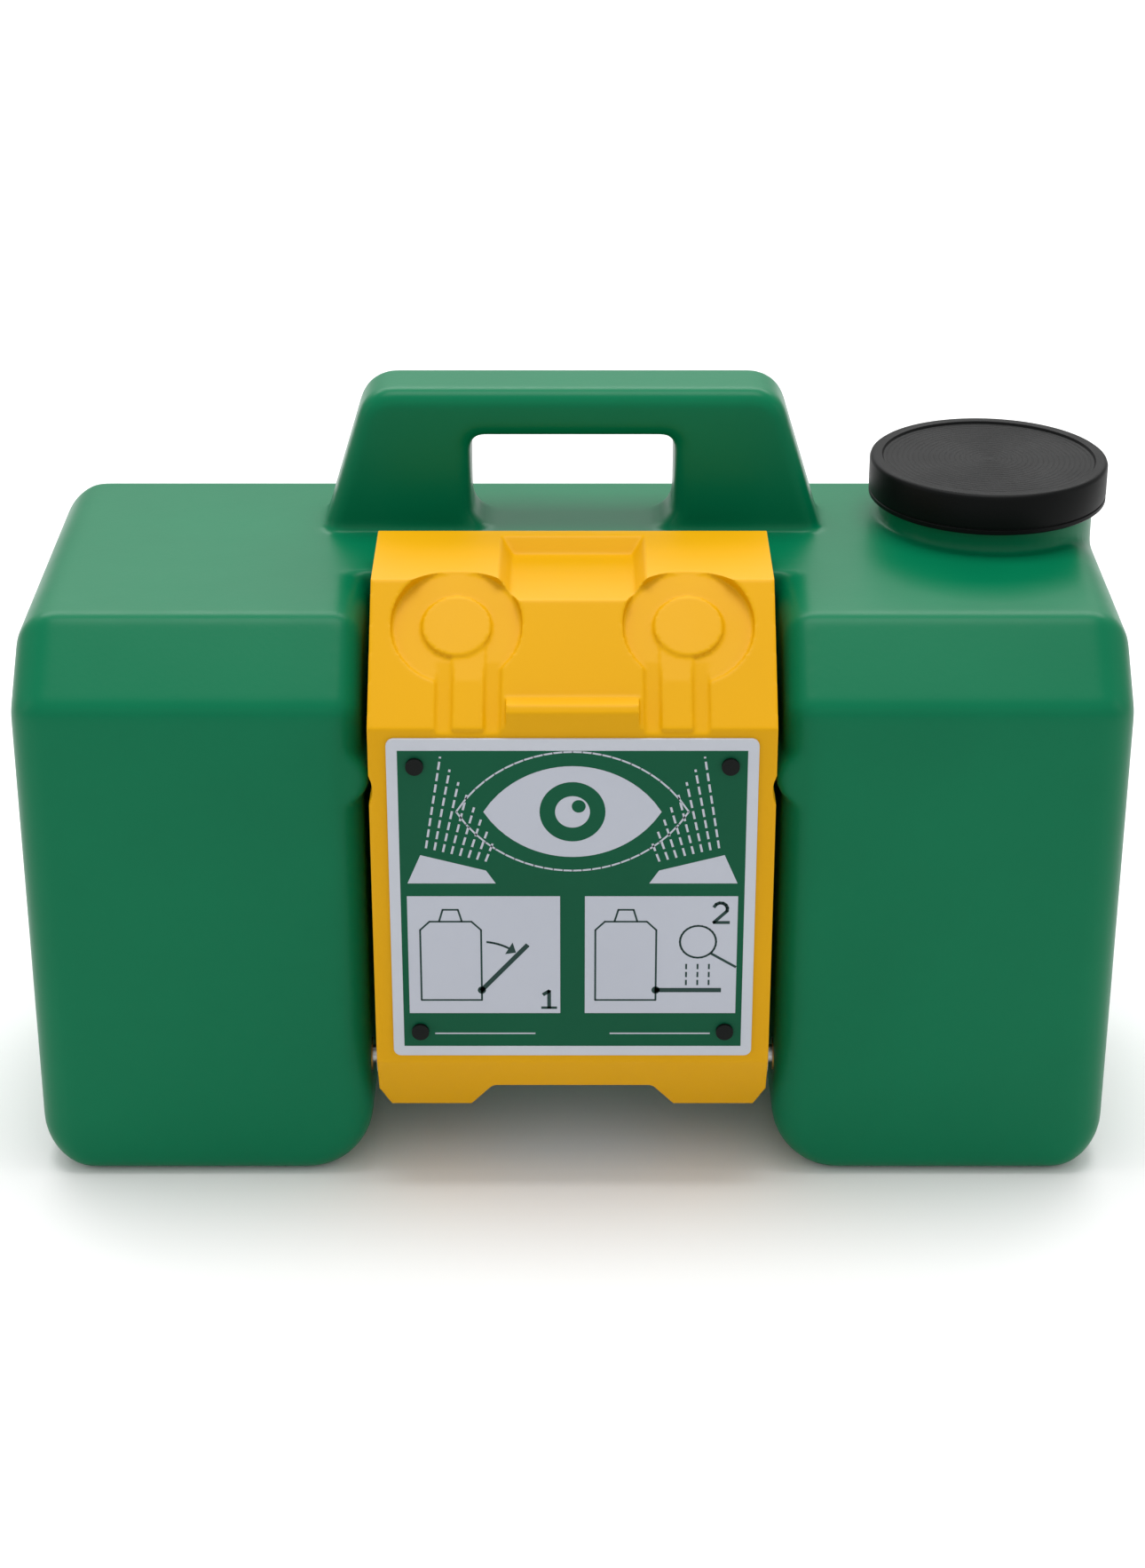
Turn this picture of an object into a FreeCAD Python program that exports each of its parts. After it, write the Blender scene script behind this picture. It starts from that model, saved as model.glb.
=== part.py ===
"""A portable gravity-fed eyewash station: a moulded tank that stands on two lobes, and a pull-down arm in
the channel between them that swings forward on its pivot and brings two nozzles below the water level.

Frame: X to the right across the front, Y from the front to the back, Z up from the surface it stands on.
X = 0 is the middle of the arm and Y = 0 is half way between the arm's front and the tank's back. The unit
is the millimetre."""

import FreeCAD, Part
import math
import os
import re

import Sketcher

# Driving dimensions, each in a cell of the sheet with this name.
SIZES = {
    # tank
    "tank_width": 584,
    "tank_depth": 253,
    "tank_height": 315,  # flat top of the lobes
    "tank_wall": 4,
    "shoulder_run": 43,  # sloped shoulder between the front and the top
    "shoulder_drop": 35,
    "heel_run": 75,  # sloped underside at the back
    "heel_rise": 75,
    "foot_inner_radius": 36,
    "foot_outer_radius": 28,
    "end_radius": 22,
    "edge_radius": 16,
    "ridge_radius": 12,
    # channel for the arm
    "arm_gap": 4.5,
    "channel_depth": 76,
    "channel_reach": 104,  # how far the channel runs back at the top
    "channel_step": 17,  # height of its end wall at the top
    "channel_slope": 36,
    "bridge_height": 38,  # underside of the tank between the lobes
    "bump_radius": 15,
    "bump_height": 240,
    "bump_length": 30,
    "bump_setback": 1,
    "bump_gap": 0.7,  # between a bump and the side of the arm
    # handle
    "handle_rise": 81,
    "handle_front": 164,  # behind the front of the lobes
    "handle_thickness": 47,
    "handle_foot": 292,
    "handle_crown": 226,
    "hand_width": 112,
    "grip_height": 27,
    "hand_radius": 15,
    "grip_radius": 6,
    "rim_radius": 9,
    "handle_root": 26,  # how far the handle runs down into the tank
    "crown_radius": 20,
    # filler neck and cap
    "neck_across": 232,
    "neck_back": 190,  # behind the front of the lobes
    "neck_radius": 59,
    "neck_collar": 12,
    "thread_crest": 1,  # the thread stands this far out of the neck
    "thread_depth": 2.5,
    "thread_pitch": 8,
    "neck_wall": 5,
    "neck_height": 28,
    "neck_skirt": 40,  # how far the neck runs down into the tank's end
    "thread_start": 3,
    "thread_width": 4,
    "cap_wall": 5.2,
    "cap_rest": 13,  # lower edge of the cap above the tank's top
    "cap_top": 4,
    "cap_rim": 8,
    "cap_bevel": 1.2,
    "cap_dish": 1.5,
    "cap_gap": 0.8,
    "seat_gap": 0.3,
    "gasket_thickness": 3,
    # arm
    "arm_width": 210,
    "arm_proud": 12,  # ahead of the lobes
    "arm_wall": 3,
    "arm_bottom": 40,
    "arm_face_low": 79,
    "arm_face_drop": 40,
    "arm_rise": 17,
    "arm_brow": 50,  # where the sloped face meets the flat top, behind the lobes' front
    "arm_reach": 122,
    "arm_back": 40,
    "arm_lip": 14,
    "arm_toe": 21,  # how far the lower edge tucks back under the face
    "notch_width": 86,
    "notch_slant": 12,
    "notch_height": 17,
    "toe_taper": 6,
    "toe_taper_height": 14,
    "arm_rim": 96,
    "arm_rim_drop": 25,
    "arm_waist_drop": 65,
    "bump_relief": 2.5,
    "recess_width": 77,
    "recess_floor": 64,
    "recess_depth": 8,
    "recess_margin": 8,
    "cup_inset": 45,
    "cup_radius": 34,
    "cup_depth": 8,  # at the top of the cup
    "cup_sill": 0.8,  # at the bottom
    "lane_depth": 2.2,
    "cup_drop": 23,  # from the tank's top to the bottom of the cup on the sloped face
    "lane_width": 34,
    "rib_width": 16,
    "rib_rise": 2.4,
    "cup_boss": 18,
    "bar_gap": 2.5,
    "bar_drop": 28,
    "bar_bevel": 3,
    # pivot and water path
    "pivot_back": 26,  # behind the front of the lobes
    "pivot_height": 62,
    "bolt_radius": 5,
    "bolt_head_radius": 8.5,
    "bolt_head_thickness": 3.5,
    "bolt_bevel": 0.8,
    "bolt_end": 1.5,  # bottom of the insert's blind bore
    "hex_key": 2.9,
    "end_gap": 0.3,
    "bush_radius": 8,
    "bush_length": 8,
    "bush_flange": 2,
    "insert_radius": 9,
    "insert_length": 14,
    "insert_wall": 4,
    "running_gap": 0.05,
    "core_radius": 10,
    "core_bore": 6,
    "core_recess": 0.5,
    "core_end": 4,
    "port_radius": 4,
    "tee_radius": 13,
    "collar_radius": 16,
    "collar_length": 34,
    "collar_boss": 9.5,
    "collar_boss_top": 24,
    "seal_radius": 1.1,
    "seal_squeeze": 0.02,  # how far a seal stands out of the core
    "seal_offset": 10.5,  # from the middle of a collar
    "water_groove": 2.5,
    "water_groove_width": 9,
    "outlet_radius": 11,
    "outlet_bore": 6.5,
    "spigot_radius": 9,
    "spigot_end": 44,  # behind the front of the lobes
    "tee_end": 56,
    "flange_radius": 21,
    "flange_thickness": 5,
    "outlet_gasket_thickness": 2,
    "nut_width": 30,
    "nut_thickness": 8,
    "outlet_tail": 4,
    "strainer_slot": 2.2,
    "strainer_length": 30,
    "strainer_radius": 14,
    "strainer_wall": 1.2,
    "tube_radius": 7,
    "tube_bore": 5,
    "tube_inset": 51.5,
    "tube_socket": 8,
    "tube_bend_drop": 125,
    "tube_bend_rise": 38,
    # nozzles
    "nozzle_front": 46,  # behind the front of the lobes
    "nozzle_length": 25,
    "nozzle_radius": 25,
    "nozzle_wall": 3,
    "disc_thickness": 2.5,
    "disc_hole": 1.3,
    "disc_seat": 1.5,
    "ring_wall": 3,
    "ring_depth": 5.5,
    "ring_lip": 2,
    "ring_opening": 19,
    "screen_thickness": 1,
    "inlet_boss": 9,
    "inlet_back": 9.5,  # behind the front of the nozzle
    "inlet_drop": 13,
    "seat_radius": 15,
    "seat_reach": 60,
    "seat_ledge": 1.5,
    # cover over the tubes
    "cover_thickness": 2.5,
    "cover_low": 92,
    "cover_high": 186,
    "cover_screw_inset": 9,
    "cover_screw_length": 12,
    "cover_post": 5,
    "cover_gap": 0.5,
    "cover_screw_radius": 2,
    "cover_screw_head": 4,
    # sign
    "sign_margin": 9.5,
    "sign_height": 186,
    "sign_low": 84,
    "sign_thickness": 1.6,
    "sign_corner": 4,
    "rivet_radius": 2.4,
    "rivet_head_radius": 4.6,
    "rivet_head": 2,
    "rivet_inset_side": 14.5,
    "rivet_inset_end": 15,
}

doc = FreeCAD.newDocument("eyewash_station")
sheet = doc.addObject("Spreadsheet::Sheet", "Sheet")
for row, (alias, size) in enumerate(SIZES.items(), start=1):
    sheet.set(f"A{row}", alias)
    sheet.set(f"B{row}", str(size))
    sheet.setAlias(f"B{row}", alias)
doc.recompute()

# Places worked out from the cells, as formulas.
FRONT = "(arm_proud - tank_depth) / 2"  # front of the lobes
BACK = "(arm_proud + tank_depth) / 2"
FACE = "(-arm_proud - tank_depth) / 2"  # front of the arm
PIVOT = f"{FRONT} + pivot_back"
NOZZLE = f"{FRONT} + nozzle_front"
CHANNEL = f"{FRONT} + channel_depth"
DERIVED = {  # sizes that follow others
    "channel_width": "(arm_width + 2 * arm_gap)",
    "cup_spread": "(arm_width - 2 * cup_inset)",
    "tube_spread": "(arm_width - 2 * tube_inset)",
    "sign_width": "(arm_width - 2 * sign_margin)",
    "bar_width": "(tube_spread - lane_width - 2 * bar_gap)",
    "core_length": "(tube_spread + collar_length - 2 * core_recess)",
    "handle_top": "(tank_height + handle_rise)",
    "arm_top": "(tank_height + arm_rise)",
    "arm_face_high": "(tank_height - arm_face_drop)",
    "nozzle_height": "(tank_height - nozzle_radius)",  # the nozzle's top is level with the lobes' top
    "neck_bore": "(neck_radius - neck_wall)",
    "thread_radius": "(neck_radius + thread_crest)",  # crest of the thread
    "cap_radius": "(thread_radius + cap_gap + cap_wall)",
    "cup_low": "(tank_height - cup_drop)",
    "bar_top": "(tank_height - bar_drop)",
    "arm_rim_height": "(tank_height - arm_rim_drop)",
    "arm_waist_height": "(tank_height - arm_waist_drop)",
    "tube_bend_low": "(tank_height - tube_bend_drop)",
    "tube_bend_high": "(tank_height - tube_bend_drop + tube_bend_rise)",
}

TURNED_TO = {
    "up": FreeCAD.Rotation(),
    "right": FreeCAD.Rotation(FreeCAD.Vector(0, 1, 0), 90),
    "left": FreeCAD.Rotation(FreeCAD.Vector(0, 1, 0), -90),
    "back": FreeCAD.Rotation(FreeCAD.Vector(1, 0, 0), -90),
    "front": FreeCAD.Rotation(FreeCAD.Vector(1, 0, 0), 90),
}
SIDES = {"left": -1, "right": 1}
STRAINER_ROWS = 5


def ref(formula):
    """The formula with each derived name written out and each name in the sheet as the sheet's cell."""

    def written(word):
        name = word[0]
        if name in DERIVED:
            return ref(DERIVED[name])
        return "Sheet." + name if name in SIZES else name

    return re.sub(r"(?<![.\w])[a-z][a-z_]*", written, formula)


def new_body(label, at=("0", "0", "0"), turned="up"):
    """A body placed by formulas, its own Z axis turned to a direction."""
    body = doc.addObject("PartDesign::Body", label)
    body.Label = label
    body.Placement = FreeCAD.Placement(FreeCAD.Vector(), TURNED_TO[turned])
    for axis, formula in zip("xyz", at):
        body.setExpression(f".Placement.Base.{axis}", ref(formula))
    return body


def new_sketch(body, plane, offset):
    """A sketch on one of the body's own planes, moved along its normal by a formula."""
    sketch = body.newObject("Sketcher::SketchObject", "sketch")
    support = next(o for o in body.Origin.OriginFeatures if o.Role == plane + "_Plane")
    sketch.AttachmentSupport = (support, [""])
    sketch.MapMode = "FlatFace"
    sketch.setExpression(".AttachmentOffset.Base.z", ref(offset))
    return sketch


def bind(sketch, kind, point, formula, start):
    """A distance from the sketch's origin to a point, bound to a formula."""
    index = sketch.addConstraint(Sketcher.Constraint(kind, -1, 1, *point, start))
    sketch.setExpression(f"Constraints[{index}]", ref(formula))


def add_polygon(sketch, corners, closed=True):
    """Straight edges through corners, each a pair of formulas."""
    first, count = sketch.GeometryCount, len(corners)
    edges = count if closed else count - 1
    turns = [math.tau * i / count for i in range(count)]
    ring = [FreeCAD.Vector(math.cos(turn), math.sin(turn)) * 50 for turn in turns]
    for i in range(edges):
        sketch.addGeometry(Part.LineSegment(ring[i], ring[(i + 1) % count]))
    for i in range(edges if closed else edges - 1):
        sketch.addConstraint(Sketcher.Constraint("Coincident", first + i, 2, first + (i + 1) % count, 1))
    for i, (across, up) in enumerate(corners):
        point = (first + i, 1) if i < edges else (first + i - 1, 2)
        bind(sketch, "DistanceX", point, across, ring[i].x)
        bind(sketch, "DistanceY", point, up, ring[i].y)


def add_circle(sketch, across, up, radius):
    circle = sketch.addGeometry(Part.Circle(FreeCAD.Vector(20, 20), FreeCAD.Vector(0, 0, 1), 5))
    bind(sketch, "DistanceX", (circle, 3), across, 20)
    bind(sketch, "DistanceY", (circle, 3), up, 20)
    index = sketch.addConstraint(Sketcher.Constraint("Radius", circle, 5))
    sketch.setExpression(f"Constraints[{index}]", ref(radius))


def finish_feature(body, feature, **settings):
    """Sets a feature's plain properties and its formulas, and makes it the body's tip."""
    for name, value in settings.items():
        if isinstance(value, str) and name in ("Length", "Length2", "Offset", "Radius"):
            feature.setExpression(name, ref(value))
        else:
            setattr(feature, name, value)
    body.Tip = feature
    return feature


def sketched(body, kind, plane, outlines, offset="0", **settings):
    """A feature of a kind, such as Pad or Pocket, made from closed outlines and circles in one sketch."""
    sketch = new_sketch(body, plane, offset)
    for outline in outlines:
        if len(outline) == 3 and isinstance(outline[0], str):
            add_circle(sketch, *outline)
        else:
            add_polygon(sketch, outline)
    feature = body.newObject("PartDesign::" + kind, kind.lower())
    feature.Profile = sketch
    return finish_feature(body, feature, **settings)


def slab(body, kind, plane, outlines, length, offset="0"):
    """A pad or pocket that is as long on both sides of its plane."""
    return sketched(body, kind, plane, outlines, offset, Length=length, SideType="Symmetric")


def revolved(body, kind, profile):
    """A turned feature about the body's Z axis, from corners given as (radius, height)."""
    sketch = new_sketch(body, "XZ", "0")
    add_polygon(sketch, profile)
    feature = body.newObject("PartDesign::" + kind, kind.lower())
    feature.Profile = sketch
    feature.ReferenceAxis = (sketch, ["V_Axis"])
    feature.Angle = 360
    body.Tip = feature
    return feature


def tube_profile(bore, radius, low, high):
    return [(bore, low), (radius, low), (radius, high), (bore, high)]


def turned_body(label, profile, at, turned="up"):
    body = new_body(label, at, turned)
    revolved(body, "Revolution", profile)
    return body


def box_outline(x_low, y_low, x_high, y_high):
    return [(x_low, y_low), (x_high, y_low), (x_high, y_high), (x_low, y_high)]


def rounded(body, radius, wanted):
    """Rounds the edges that wanted(edge, middle) picks on the body as it stands."""
    doc.recompute()
    base = body.Tip
    names = []
    for index, edge in enumerate(base.Shape.Edges, start=1):
        middle = edge.valueAt((edge.FirstParameter + edge.LastParameter) / 2)
        if wanted(edge, middle):
            names.append(f"Edge{index}")
    if not names:
        raise ValueError(f"{body.Label}: no edge to round")
    fillet = body.newObject("PartDesign::Fillet", "fillet")
    fillet.Base = (base, names)
    return finish_feature(body, fillet, Radius=radius)


def size(alias):
    return float(sheet.get(alias))


def runs_along(edge, axis):
    if not isinstance(edge.Curve, Part.Line):
        return False
    return abs(getattr(edge.Curve.Direction, axis)) > 0.999


def hexagon(corner):
    """A regular hexagon, its corners at a distance from the middle given by a formula."""
    turns = [math.tau * i / 6 for i in range(6)]
    return [(f"{corner} * {math.cos(turn):.6f}", f"{corner} * {math.sin(turn):.6f}") for turn in turns]


def tank_form(label, inset):
    """The tank's outside, or its cavity when inset is the wall."""
    body = new_body(label)
    side = [
        (f"{FRONT} + {inset}", inset),
        (f"{FRONT} + {inset}", f"tank_height - shoulder_drop - {inset} * 0.45"),
        (f"{FRONT} + shoulder_run + {inset} * 0.45", f"tank_height - {inset}"),
        (f"{BACK} - {inset}", f"tank_height - {inset}"),
        (f"{BACK} - {inset}", f"heel_rise + {inset} * 0.41"),
        (f"{BACK} - heel_run - {inset} * 0.41", inset),
    ]
    slab(body, "Pad", "YZ", [side], f"tank_width - 2 * {inset}")
    step = "tank_height - channel_step"
    channel = [
        (f"{FRONT} - 20", "-20"),
        (f"{FRONT} - 20", "tank_height + 20"),
        (f"{FRONT} + channel_reach + {inset}", "tank_height + 20"),
        (f"{FRONT} + channel_reach + {inset}", f"{step} - {inset} * 0.45"),
        (f"{FRONT} + channel_depth + {inset}", f"{step} - channel_slope - {inset} * 0.45"),
        (f"{FRONT} + channel_depth + {inset}", f"bridge_height + {inset}"),
        (f"{BACK} + 20", f"bridge_height + {inset}"),
        (f"{BACK} + 20", "-20"),
    ]
    slab(body, "Pocket", "YZ", [channel], f"channel_width + 2 * {inset}")
    return body


def part_fillet(label, base, radius_of):
    """A Part::Fillet that rounds each edge by radius_of(middle, direction), where that is above 0."""
    doc.recompute()
    picked = []
    for index, edge in enumerate(base.Shape.Edges, start=1):
        middle = edge.valueAt((edge.FirstParameter + edge.LastParameter) / 2)
        radius = radius_of(middle, edge.tangentAt(edge.FirstParameter))
        if radius > 0:
            picked.append((index, radius, radius))
    fillet = doc.addObject("Part::Fillet", label)
    fillet.Base = base
    fillet.Edges = picked
    return fillet


def near(a, b):
    return abs(a - b) < 0.01


def rounded_tank(label, inset):
    """The tank form with every outer edge rounded, less by the wall on the cavity."""
    body = tank_form(label + "_form", inset)
    wall = size(inset) if inset in SIZES else 0
    end = size("tank_width") / 2 - wall
    side = size("arm_width") / 2 + size("arm_gap") + wall
    bottom, top = wall, size("tank_height") - wall
    front = (size("arm_proud") - size("tank_depth")) / 2 + wall
    back = front + size("tank_depth") - 2 * wall
    shoulder = front + size("shoulder_run")

    def radius_of(middle, direction):
        if near(middle.z, bottom) and near(abs(direction.y), 1):
            foot = "foot_inner_radius" if near(abs(middle.x), side) else "foot_outer_radius"
            return size(foot) - wall
        if near(abs(middle.x), end):
            return size("end_radius") - wall
        on_front = middle.y < shoulder and (near(middle.y, front) or not near(abs(direction.z), 1))
        if near(abs(middle.x), side) and (on_front or near(middle.z, top)) and abs(direction.x) < 0.5:
            return size("edge_radius") - wall
        on_ridge = middle.y < shoulder + 1 or near(middle.y, back) or near(middle.z, bottom)
        if near(abs(direction.x), 1) and on_ridge:
            return size("ridge_radius") - wall
        return 0

    return part_fillet(label, body, radius_of)


def handle(label, inset):
    """The carry handle on the tank's top, or the hollow in it."""
    middle = f"{FRONT} + handle_front + handle_thickness / 2"
    body = new_body(label + "_form", ("0", middle, "0"))
    foot, crown = f"handle_foot / 2 - {inset} * 1.1", f"handle_crown / 2 - {inset} * 1.1"
    top = f"handle_top - {inset}"
    low = "tank_height - handle_root"
    outside = [(f"-({foot})", low), (foot, low), (crown, top), (f"-({crown})", top)]
    hand = f"hand_width / 2 + {inset}"
    under_grip = f"handle_top - grip_height + {inset}"
    hole = box_outline(f"-({hand})", f"tank_height - {inset}", hand, under_grip)
    slab(body, "Pad", "XZ", [outside, hole], f"handle_thickness - 2 * {inset}")
    wall = size(inset) if inset in SIZES else 0
    crown_top = size("tank_height") + size("handle_rise") - wall
    grip_low = crown_top - size("grip_height") + 2 * wall
    hole_low = size("tank_height") - wall
    faces = size("handle_thickness") / 2 - wall
    lobe_front = (size("arm_proud") - size("tank_depth")) / 2
    centre = lobe_front + size("handle_front") + size("handle_thickness") / 2

    def corner_radius(middle, direction):
        if near(abs(direction.y), 1):
            if near(middle.z, crown_top):
                return size("crown_radius") - wall
            if near(middle.z, grip_low):
                return size("grip_radius")
            if near(middle.z, hole_low):
                return size("hand_radius") + wall
        return 0

    def rim_radius(middle, direction):
        on_face = near(abs(middle.y - centre), faces) and near(direction.y, 0)
        return size("rim_radius") - wall / 2 if on_face and middle.z > hole_low - 1 else 0

    return part_fillet(label, part_fillet(label + "_corners", body, corner_radius), rim_radius)


def fused(label, shapes):
    fuse = doc.addObject("Part::MultiFuse", label)
    fuse.Shapes = shapes
    return fuse


def cut(label, base, tool):
    result = doc.addObject("Part::Cut", label)
    result.Base = base
    result.Tool = tool
    result.Label = label
    return result


NECK_AT = ("neck_across", f"{FRONT} + neck_back", "tank_height")
PIVOT_AT = ("0", PIVOT, "pivot_height")
INSERT_DEEP = "insert_length + insert_wall"


def neck(label):
    """The filler neck with two rings of its thread, and a skirt that runs down into the tank."""
    root = "thread_radius - thread_depth"
    profile = [
        ("0", "-neck_skirt"),
        ("neck_radius", "-neck_skirt"),
        ("neck_radius", "neck_collar"),
        (root, "neck_collar"),
    ]
    for turn in range(2):
        low = f"neck_collar + thread_start + {turn} * thread_pitch / 2"
        profile += [
            (root, low),
            ("thread_radius", f"{low} + thread_width * 0.35"),
            ("thread_radius", f"{low} + thread_width * 0.65"),
            (root, f"{low} + thread_width"),
        ]
    profile += [(root, "neck_height"), ("0", "neck_height")]
    return turned_body(label, profile, NECK_AT)


def at_pivot_side(side):
    """On the pivot axis at a channel wall, with the body's Z axis pointing at the middle of the arm."""
    return (f"{side} * channel_width / 2", PIVOT, "pivot_height"), "left" if side > 0 else "right"


def tank_shell():
    bumps = new_body("bumps", ("0", f"{FRONT} + bump_length / 2 + bump_setback", "0"))
    bumps.AllowCompound = True
    across = "(arm_width / 2 + bump_gap + bump_radius)"
    circles = [(f"{side} * {across}", "bump_height", "bump_radius") for side in SIDES.values()]
    slab(bumps, "Pad", "XZ", circles, "bump_length")
    outer = rounded_tank("tank_outer", "0")
    outside = fused("tank_outside", [outer, handle("tank_handle", "0"), neck("tank_neck"), bumps])
    bore_form = tube_profile("0", "neck_bore", "-neck_skirt", "neck_height + 5")
    bore = turned_body("tank_bore", bore_form, NECK_AT)
    cavity = rounded_tank("tank_cavity", "tank_wall")
    inside = fused("tank_inside", [cavity, handle("tank_handle_hollow", "tank_wall"), bore])
    hollow = cut("tank_hollow", outside, inside)
    bosses, holes = [hollow], []
    for name, side in SIDES.items():
        at, turned = at_pivot_side(side)
        boss = tube_profile("0", "insert_radius + insert_wall", f"-({INSERT_DEEP})", "-tank_wall / 2")
        bosses.append(turned_body(f"insert_boss_{name}", boss, at, turned))
        hole = tube_profile("0", "insert_radius", "-insert_length", "tank_wall")
        holes.append(turned_body(f"insert_hole_{name}", hole, at, turned))
    outlet = tube_profile("0", "outlet_radius + running_gap", "-tank_wall", "2 * tank_wall")
    holes.append(turned_body("outlet_hole", outlet, ("0", CHANNEL, "pivot_height"), "back"))
    return cut("tank_shell", fused("tank_with_bosses", bosses), fused("tank_holes", holes))


def pivot_hardware(name, side):
    """A threaded insert moulded into the channel wall and the shoulder bolt that the arm turns on."""
    at, turned = at_pivot_side(side)
    insert = [
        ("0", "-insert_length"),
        ("insert_radius", "-insert_length"),
        ("insert_radius", "0"),
        ("bolt_radius", "0"),
        ("bolt_radius", "bolt_end - insert_length"),
        ("0", "bolt_end - insert_length"),
    ]
    turned_body(f"pivot_insert_{name}", insert, at, turned)
    head = "(channel_width - arm_width) / 2 + bush_length + end_gap"
    bolt = [
        ("0", "bolt_end - insert_length"),
        ("bolt_radius", "bolt_end - insert_length"),
        ("bolt_radius", head),
        ("bolt_head_radius", head),
        ("bolt_head_radius", f"{head} + bolt_head_thickness - bolt_bevel"),
        ("bolt_head_radius - bolt_bevel", f"{head} + bolt_head_thickness"),
        ("0", f"{head} + bolt_head_thickness"),
    ]
    body = turned_body(f"pivot_bolt_{name}", bolt, at, turned)
    slab(body, "Pocket", "XY", [hexagon("hex_key")], "bolt_head_thickness", f"{head} + bolt_head_thickness")
    gap = "(channel_width - arm_width) / 2"
    bush = [
        ("bolt_radius + running_gap", f"{gap} - bush_flange"),
        ("bush_radius + bush_flange", f"{gap} - bush_flange"),
        ("bush_radius + bush_flange", gap),
        ("bush_radius", gap),
        ("bush_radius", f"{gap} + bush_length"),
        ("bolt_radius + running_gap", f"{gap} + bush_length"),
    ]
    turned_body(f"pivot_bush_{name}", bush, at, turned)


def outlet():
    """The bulkhead outlet through the channel floor, from the strainer in the tank to the tee."""
    at = ("0", CHANNEL, "pivot_height")
    flange = "-outlet_gasket_thickness"
    front = "spigot_end - channel_depth"
    inner = "tank_wall + nut_thickness + outlet_tail"
    fitting = [
        ("outlet_bore", front),
        ("spigot_radius", front),
        ("spigot_radius", f"{flange} - flange_thickness"),
        ("flange_radius", f"{flange} - flange_thickness"),
        ("flange_radius", flange),
        ("outlet_radius", flange),
        ("outlet_radius", inner),
        ("outlet_bore", inner),
    ]
    turned_body("outlet_fitting", fitting, at, "back")
    gasket = tube_profile("outlet_radius + running_gap", "flange_radius - running_gap", flange, "0")
    turned_body("outlet_gasket", gasket, at, "back")
    nut = new_body("outlet_nut", at, "back")
    flats = hexagon(f"nut_width / {math.sqrt(3):.7f}")
    sketched(nut, "Pad", "XY", [flats, ("0", "0", "outlet_radius")], "tank_wall", Length="nut_thickness")
    low, high = "tank_wall + nut_thickness", "tank_wall + nut_thickness + strainer_length"
    strainer = turned_body("strainer_form", [
        ("outlet_radius", low),
        ("strainer_radius", low),
        ("strainer_radius", high),
        ("0", high),
        ("0", f"{high} - strainer_wall"),
        ("strainer_radius - strainer_wall", f"{high} - strainer_wall"),
        ("strainer_radius - strainer_wall", f"{low} + outlet_tail"),
        ("outlet_radius", f"{low} + outlet_tail"),
    ], at, "back")
    strainer.Label = "outlet_strainer"
    for row in range(STRAINER_ROWS):
        start = f"{low} + outlet_tail + strainer_slot * {1.0 + 2 * row}"
        wide = "strainer_radius * 0.6"
        slot = box_outline(f"-{wide}", start, wide, f"{start} + strainer_slot")
        slab(strainer, "Pocket", "XZ", [slot], "strainer_radius * 3")
    return strainer


def swivel():
    """The fixed tee on the pivot axis: the arm's collars turn on it and take water from its ports."""
    half = "core_length / 2"
    profile = [("0", f"-{half}"), ("core_radius", f"-{half}")]
    groove = "seal_radius * 1.15"
    floor = "core_radius + seal_squeeze - 2 * seal_radius - running_gap"
    centres = [f"{side} * tube_spread / 2 + {end} * seal_offset" for side in (-1, 1) for end in (-1, 1)]
    for centre in centres:
        profile += [
            ("core_radius", f"{centre} - {groove}"),
            (floor, f"{centre} - {groove}"),
            (floor, f"{centre} + {groove}"),
            ("core_radius", f"{centre} + {groove}"),
        ]
    profile += [("core_radius", half), ("0", half)]
    core = turned_body("swivel_core", profile, PIVOT_AT, "right")
    tee = "tee_end - pivot_back"
    slab(core, "Pad", "XZ", [("0", "0", "tee_radius")], tee, f"-({tee}) / 2")
    revolved(core, "Groove", tube_profile("0", "core_bore", f"core_end - {half}", f"{half} - core_end"))
    slab(core, "Pocket", "XZ", [("0", "0", "core_bore")], f"{tee} + 1", f"-({tee} + 1) / 2")
    socket = "tee_end - spigot_end"
    slab(core, "Pocket", "XZ", [("0", "0", "spigot_radius")], f"2 * ({socket})", f"-({tee})")
    ports = [("0", f"{side} * tube_spread / 2", "port_radius") for side in SIDES.values()]
    slab(core, "Pocket", "YZ", ports, "core_radius * 3")
    seals = new_body("swivel_seals", PIVOT_AT, "right")
    seals.AllowCompound = True
    sketch = new_sketch(seals, "XZ", "0")
    for centre in centres:
        add_circle(sketch, "core_radius + seal_squeeze - seal_radius", centre, "seal_radius")
    rings = seals.newObject("PartDesign::Revolution", "rings")
    rings.Profile = sketch
    rings.ReferenceAxis = (sketch, ["V_Axis"])
    rings.Angle = 360
    seals.Tip = rings


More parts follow.
